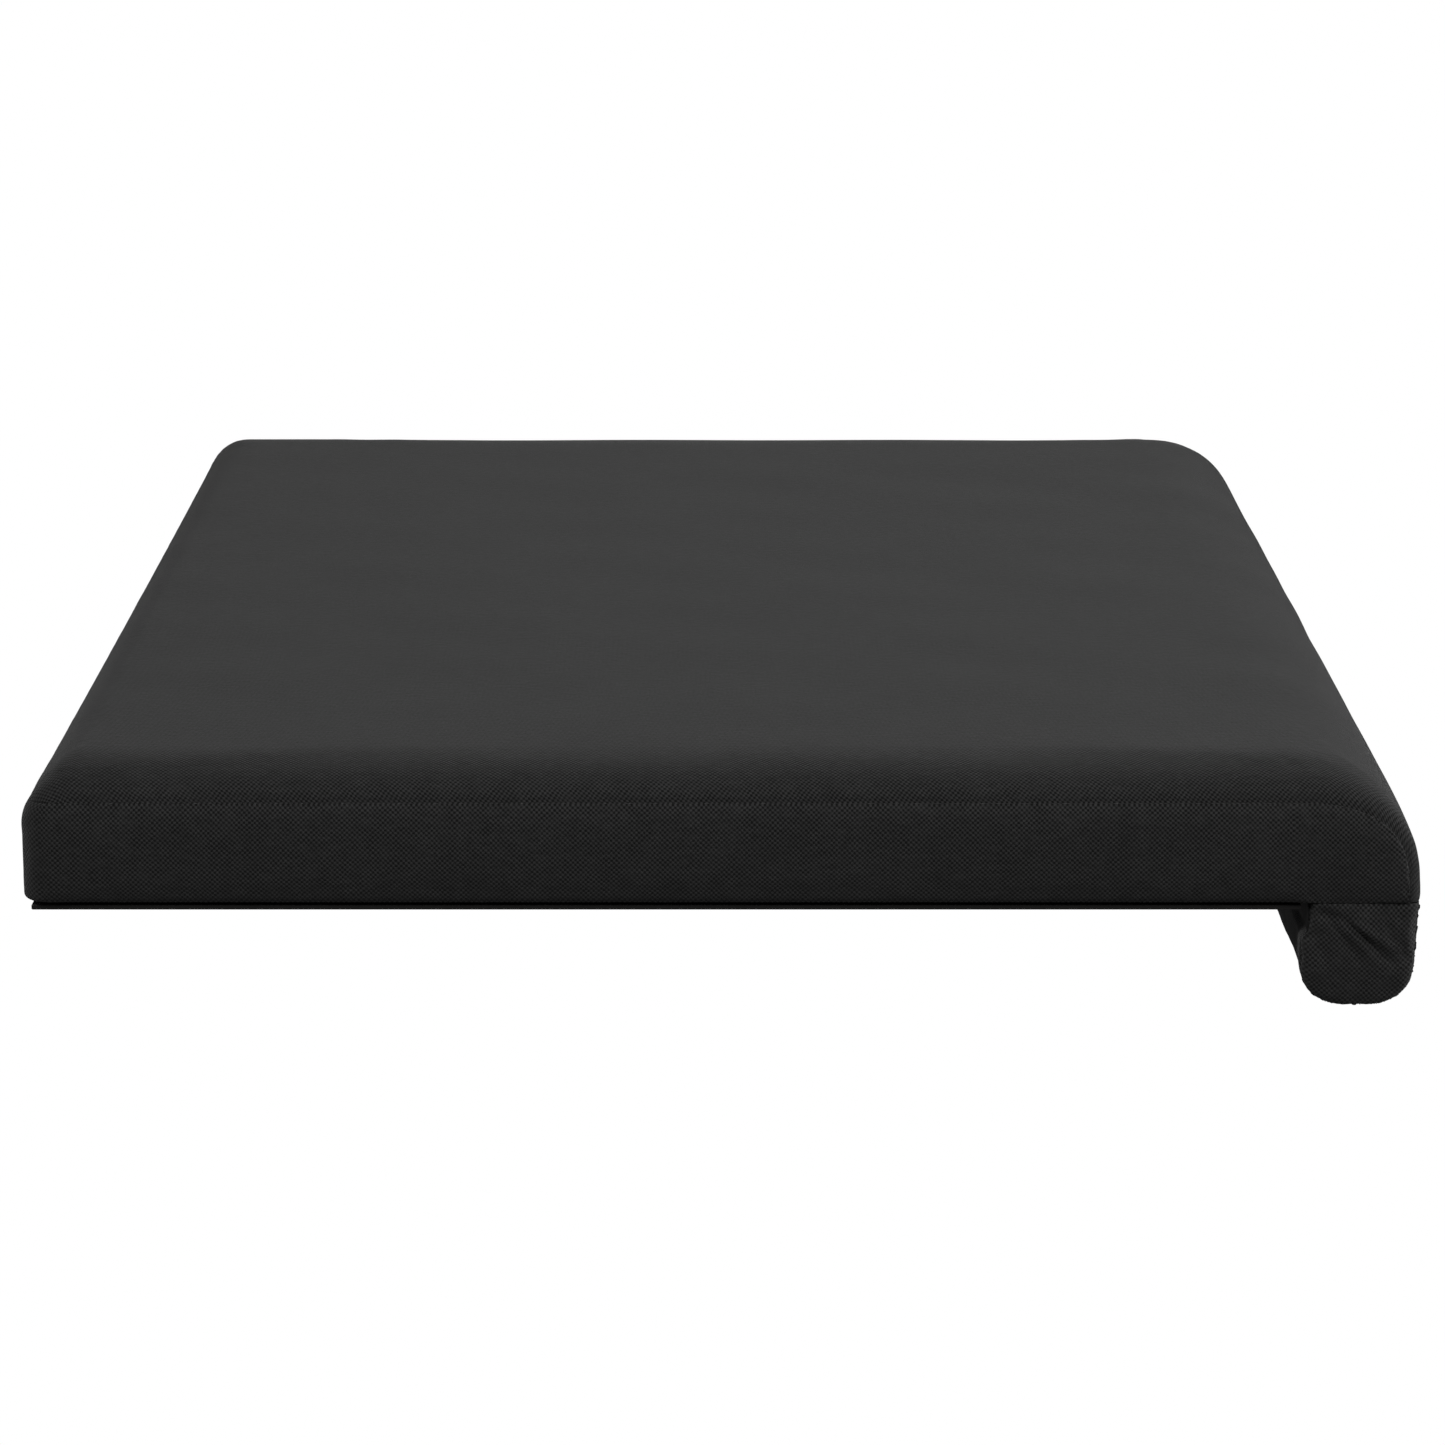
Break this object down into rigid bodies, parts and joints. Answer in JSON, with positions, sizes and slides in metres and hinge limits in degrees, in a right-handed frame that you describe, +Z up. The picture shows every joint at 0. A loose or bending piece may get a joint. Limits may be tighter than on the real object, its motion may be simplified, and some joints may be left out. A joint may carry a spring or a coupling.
{
  "type": "futon mattress",
  "caption": "Full-size foam futon mattress on a thin base board, with a padded lip along the front that hooks over a sofa bed's rail and a zipped woven cover.",
  "frame": {"origin": "on the underside of the base board, midway along the mattress and midway between its back edge and the front of the lip", "axes": "+Z up, +Y along the length of the mattress, +X to the front, where the lip hangs; the origin's height is the board's underside, so the lip reaches below it"},
  "size_m": [1.3759, 1.905, 0.241],
  "materials": {
    "woven_cover": "matte",
    "lining": "matte",
    "base_board": "satin",
    "firm_foam": "matte",
    "soft_foam": "matte",
    "fibre_fill": "matte",
    "hook_tape": "matte",
    "loop_tape": "matte",
    "zip_tape": "matte",
    "zip_teeth": "satin",
    "zip_metal": "satin"
  },
  "bodies": {
    "mattress": {"foam_core": "firm_foam", "foam_comfort_layer": "soft_foam", "foam_front_roll": "soft_foam", "foam_lip": "soft_foam", "fibre_layer": "fibre_fill", "cover_top_panel": "woven_cover", "cover_near_end": "woven_cover", "cover_far_end": "woven_cover", "cover_back_upper": "woven_cover", "cover_back_lower": "woven_cover", "cover_bottom": "lining", "lip_wrap": "woven_cover", "lip_near_cap": "woven_cover", "lip_far_cap": "woven_cover", "lip_inner_lining": "lining", "base_board": "base_board", "hook_strip_1": "hook_tape", "hook_strip_2": "hook_tape", "hook_strip_3": "hook_tape", "hook_strip_4": "hook_tape", "loop_strip_1": "loop_tape", "loop_strip_2": "loop_tape", "loop_strip_3": "loop_tape", "loop_strip_4": "loop_tape", "zip_tape_upper": "zip_tape", "zip_tape_lower": "zip_tape", "zip_teeth_upper": "zip_teeth", "zip_teeth_lower": "zip_teeth", "zip_top_stop_upper": "zip_metal", "zip_top_stop_lower": "zip_metal", "zip_bottom_stop": "zip_metal"},
    "slider": {"zip_slider": "zip_metal"},
    "pull": {"zip_pull": "zip_metal"}
  },
  "joints": [
    {"name": "zip_slide", "type": "slide", "parent": "mattress", "child": "slider", "axis": [0, 1, 0], "range_m": [0, 1.687]},
    {"name": "pull_flip", "type": "hinge", "parent": "slider", "child": "pull", "pos_m": [-0.68765, -0.8437, 0.059], "axis": [0, 0, -1], "range_deg": [0, 180]}
  ]
}
